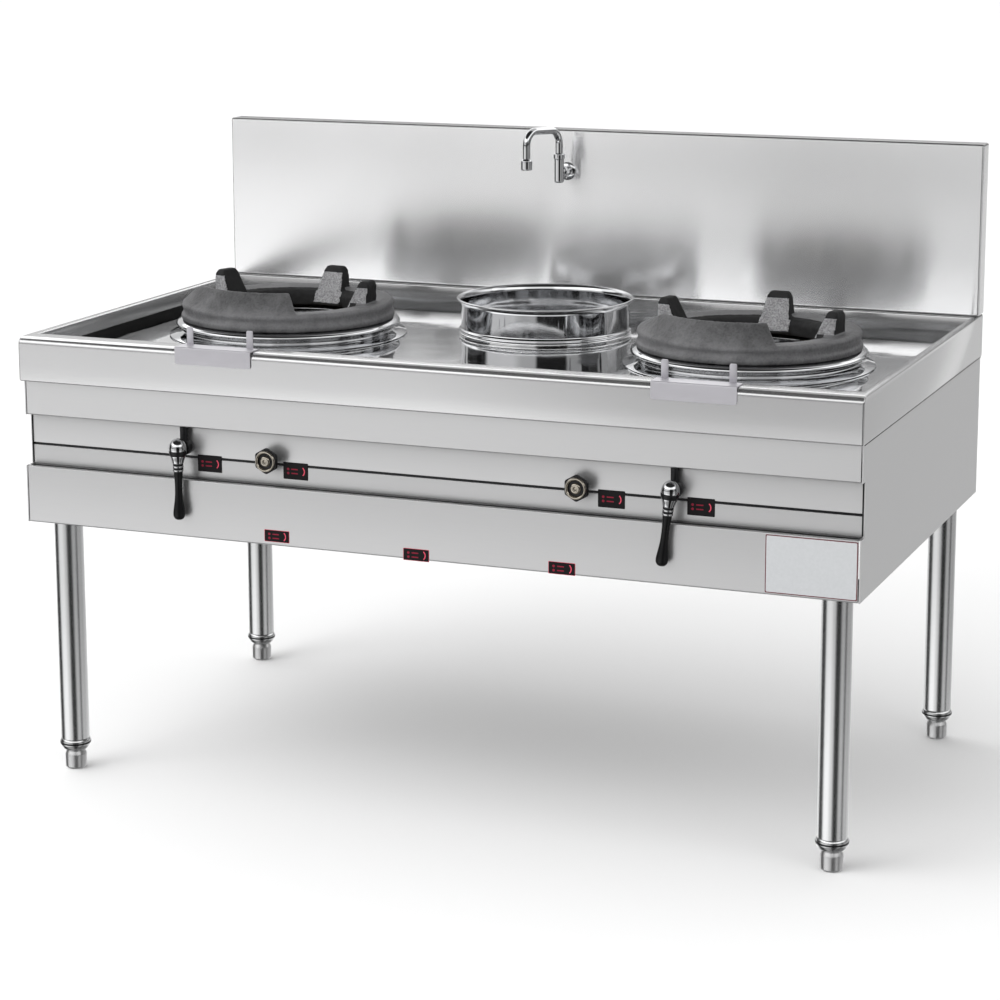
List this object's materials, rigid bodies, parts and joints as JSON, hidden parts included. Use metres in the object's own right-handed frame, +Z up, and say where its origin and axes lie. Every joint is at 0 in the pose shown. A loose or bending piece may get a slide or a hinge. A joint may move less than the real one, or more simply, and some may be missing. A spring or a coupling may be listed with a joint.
{
  "type": "wok range",
  "caption": "Stainless gas wok range on tube legs: sunken deck with cast wok rings on polished collars, a soup pot between them, lever valves and a splashback with a swing tap.",
  "frame": {"origin": "on the floor, under the middle of the footprint", "axes": "+X to the right seen from the front, +Y to the back, +Z up"},
  "size_m": [1.5, 0.8684, 1.1135],
  "materials": {
    "satin_steel": "satin brushed stainless sheet",
    "mirror_steel": "polished stainless sheet",
    "cast_iron": "rough cast",
    "chrome": "polished plating",
    "black_grip": "moulded phenolic, glossy",
    "brass": "machined",
    "pipe_steel": "plain mild steel",
    "firebrick": "rough refractory lining"
  },
  "bodies": {
    "cabinet": {"rim_frame": "satin_steel", "deck_pan": "mirror_steel", "deck_upstand": "mirror_steel", "deck_drain": "satin_steel", "rim_rest_left": "satin_steel", "rim_rest_right": "satin_steel", "fascia_band": "satin_steel", "control_panel": "satin_steel", "lower_apron": "satin_steel", "side_panel_left": "satin_steel", "side_panel_right": "satin_steel", "back_panel": "satin_steel", "base_frame": "pipe_steel", "leg_front_left": "satin_steel", "leg_collar_front_left": "satin_steel", "leg_front_right": "satin_steel", "leg_collar_front_right": "satin_steel", "leg_rear_left": "satin_steel", "leg_collar_rear_left": "satin_steel", "leg_rear_right": "satin_steel", "leg_collar_rear_right": "satin_steel", "burner_collar_left": "mirror_steel", "chamber_shell_left": "pipe_steel", "fire_bowl_left": "firebrick", "burner_head_left": "cast_iron", "mixing_tube_left": "pipe_steel", "burner_collar_right": "mirror_steel", "chamber_shell_right": "pipe_steel", "fire_bowl_right": "firebrick", "burner_head_right": "cast_iron", "mixing_tube_right": "pipe_steel", "gas_manifold": "pipe_steel", "valve_body_left": "pipe_steel", "feed_pipe_left": "brass", "pilot_body_left": "brass", "pilot_tube_left": "brass", "valve_body_right": "pipe_steel", "feed_pipe_right": "brass", "pilot_body_right": "brass", "pilot_tube_right": "brass", "well_collar": "mirror_steel", "well_jacket": "pipe_steel", "splashback": "satin_steel", "splash_cover": "satin_steel", "tap_body": "chrome", "water_pipe": "pipe_steel"},
    "foot_front_left": {"foot_front_left": "satin_steel"},
    "foot_front_right": {"foot_front_right": "satin_steel"},
    "foot_rear_left": {"foot_rear_left": "satin_steel"},
    "foot_rear_right": {"foot_rear_right": "satin_steel"},
    "lever_left": {"lever_head_left": "chrome", "lever_grip_left": "black_grip"},
    "pilot_knob_left": {"pilot_knob_left": "brass"},
    "wok_ring_left": {"wok_ring_left": "cast_iron"},
    "lever_right": {"lever_head_right": "chrome", "lever_grip_right": "black_grip"},
    "pilot_knob_right": {"pilot_knob_right": "brass"},
    "wok_ring_right": {"wok_ring_right": "cast_iron"},
    "soup_pot": {"soup_pot": "mirror_steel"},
    "tap_spout": {"tap_spout": "chrome"}
  },
  "joints": [
    {"name": "foot_front_left_screw", "type": "slide", "parent": "cabinet", "child": "foot_front_left", "axis": [0, 0, -1], "range_m": [0, 0.025]},
    {"name": "foot_front_right_screw", "type": "slide", "parent": "cabinet", "child": "foot_front_right", "axis": [0, 0, -1], "range_m": [0, 0.025]},
    {"name": "foot_rear_left_screw", "type": "slide", "parent": "cabinet", "child": "foot_rear_left", "axis": [0, 0, -1], "range_m": [0, 0.025]},
    {"name": "foot_rear_right_screw", "type": "slide", "parent": "cabinet", "child": "foot_rear_right", "axis": [0, 0, -1], "range_m": [0, 0.025]},
    {"name": "lever_left_turn", "type": "hinge", "parent": "cabinet", "child": "lever_left", "pos_m": [-0.44, -0.41875, 0.615], "axis": [0, 1, 0], "range_deg": [0, 90]},
    {"name": "lever_right_turn", "type": "hinge", "parent": "cabinet", "child": "lever_right", "pos_m": [0.44, -0.41875, 0.615], "axis": [0, 1, 0], "range_deg": [-6.5, 83.5]},
    {"name": "pilot_knob_left_turn", "type": "hinge", "parent": "cabinet", "child": "pilot_knob_left", "pos_m": [-0.278, -0.41, 0.606], "axis": [0, -1, 0], "range_deg": [0, 90]},
    {"name": "pilot_knob_right_turn", "type": "hinge", "parent": "cabinet", "child": "pilot_knob_right", "pos_m": [0.278, -0.41, 0.606], "axis": [0, -1, 0], "range_deg": [0, 90]},
    {"name": "wok_ring_left_lift", "type": "slide", "parent": "cabinet", "child": "wok_ring_left", "axis": [0, 0, 1], "range_m": [0, 0.12]},
    {"name": "wok_ring_right_lift", "type": "slide", "parent": "cabinet", "child": "wok_ring_right", "axis": [0, 0, 1], "range_m": [0, 0.12]},
    {"name": "soup_pot_lift", "type": "slide", "parent": "cabinet", "child": "soup_pot", "axis": [0, 0, 1], "range_m": [0, 0.15]},
    {"name": "tap_spout_swing", "type": "hinge", "parent": "cabinet", "child": "tap_spout", "pos_m": [-0.04, 0.35125, 1.067], "axis": [0, 0, 1], "range_deg": [-70, 100]}
  ]
}
